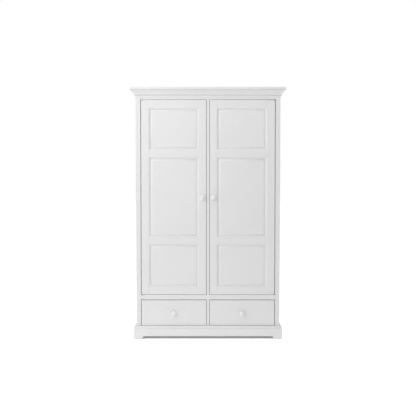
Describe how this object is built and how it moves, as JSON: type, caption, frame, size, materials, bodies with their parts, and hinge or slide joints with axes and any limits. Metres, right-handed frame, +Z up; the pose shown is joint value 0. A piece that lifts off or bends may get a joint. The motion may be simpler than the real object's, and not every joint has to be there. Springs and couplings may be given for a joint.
{
  "type": "two-door wardrobe",
  "caption": "Tall white framed wardrobe with inset panelled doors over inset drawers, a coved cornice, a bracket plinth, shelves and a hanging rail inside.",
  "frame": {"origin": "on the floor, under the centre of the whole outline", "axes": "+Z up, +X to the right as seen from the front, front towards -Y"},
  "size_m": [1.25, 0.6, 2.035],
  "materials": {
    "white_paint": "satin white paint on wood board",
    "inner_white": "matt white lacquer",
    "back_board": "painted hardboard",
    "drawer_wood": "clear lacquered birch plywood",
    "knob_enamel": "gloss white enamel on turned wood",
    "zinc_steel": "zinc plated",
    "chrome": "polished"
  },
  "bodies": {
    "carcass": {"side_panel_left": "white_paint", "front_stile_left": "white_paint", "back_panel_left": "back_board", "runner_batten_left": "inner_white", "side_panel_right": "white_paint", "front_stile_right": "white_paint", "back_panel_right": "back_board", "runner_batten_right": "inner_white", "top_rail": "white_paint", "mid_rail": "white_paint", "top_board": "white_paint", "compartment_floor": "inner_white", "base_panel": "inner_white", "rear_stretcher": "inner_white", "partition_upper": "white_paint", "partition_lower": "white_paint", "plinth_front": "white_paint", "plinth_left": "white_paint", "plinth_right": "white_paint", "cornice_front": "white_paint", "cornice_left": "white_paint", "cornice_right": "white_paint", "shelf_left_1": "inner_white", "shelf_left_2": "inner_white", "shelf_left_3": "inner_white", "shelf_left_4": "inner_white", "shelf_right": "inner_white", "rail_socket_partition": "chrome", "rail_socket_side": "chrome", "hanging_rail": "chrome", "drawer_runner_left_outer": "zinc_steel", "drawer_runner_left_inner": "zinc_steel", "drawer_runner_right_outer": "zinc_steel", "drawer_runner_right_inner": "zinc_steel", "hinge_plate_left_top": "zinc_steel", "hinge_plate_left_bottom": "zinc_steel", "hinge_plate_right_top": "zinc_steel", "hinge_plate_right_bottom": "zinc_steel"},
    "door_left": {"door_frame_left": "white_paint", "door_panel_left_top": "white_paint", "door_panel_left_middle": "white_paint", "door_panel_left_bottom": "white_paint", "hinge_leaf_left_top": "zinc_steel", "hinge_leaf_left_bottom": "zinc_steel", "door_knob_left": "knob_enamel"},
    "door_right": {"door_frame_right": "white_paint", "door_panel_right_top": "white_paint", "door_panel_right_middle": "white_paint", "door_panel_right_bottom": "white_paint", "hinge_leaf_right_top": "zinc_steel", "hinge_leaf_right_bottom": "zinc_steel", "door_knob_right": "knob_enamel"},
    "drawer_left": {"drawer_front_left": "white_paint", "drawer_box_left": "drawer_wood", "drawer_bottom_left": "drawer_wood", "drawer_knob_left": "knob_enamel"},
    "drawer_right": {"drawer_front_right": "white_paint", "drawer_box_right": "drawer_wood", "drawer_bottom_right": "drawer_wood", "drawer_knob_right": "knob_enamel"}
  },
  "joints": [
    {"name": "door_left_hinge", "type": "hinge", "parent": "carcass", "child": "door_left", "pos_m": [-0.5345, -0.259, 1.15], "axis": [0, 0, -1], "range_deg": [0, 105]},
    {"name": "door_right_hinge", "type": "hinge", "parent": "carcass", "child": "door_right", "pos_m": [0.5345, -0.259, 1.15], "axis": [0, 0, 1], "range_deg": [0, 105]},
    {"name": "drawer_left_slide", "type": "slide", "parent": "carcass", "child": "drawer_left", "axis": [0, -1, 0], "range_m": [0, 0.35]},
    {"name": "drawer_right_slide", "type": "slide", "parent": "carcass", "child": "drawer_right", "axis": [0, -1, 0], "range_m": [0, 0.35]}
  ]
}
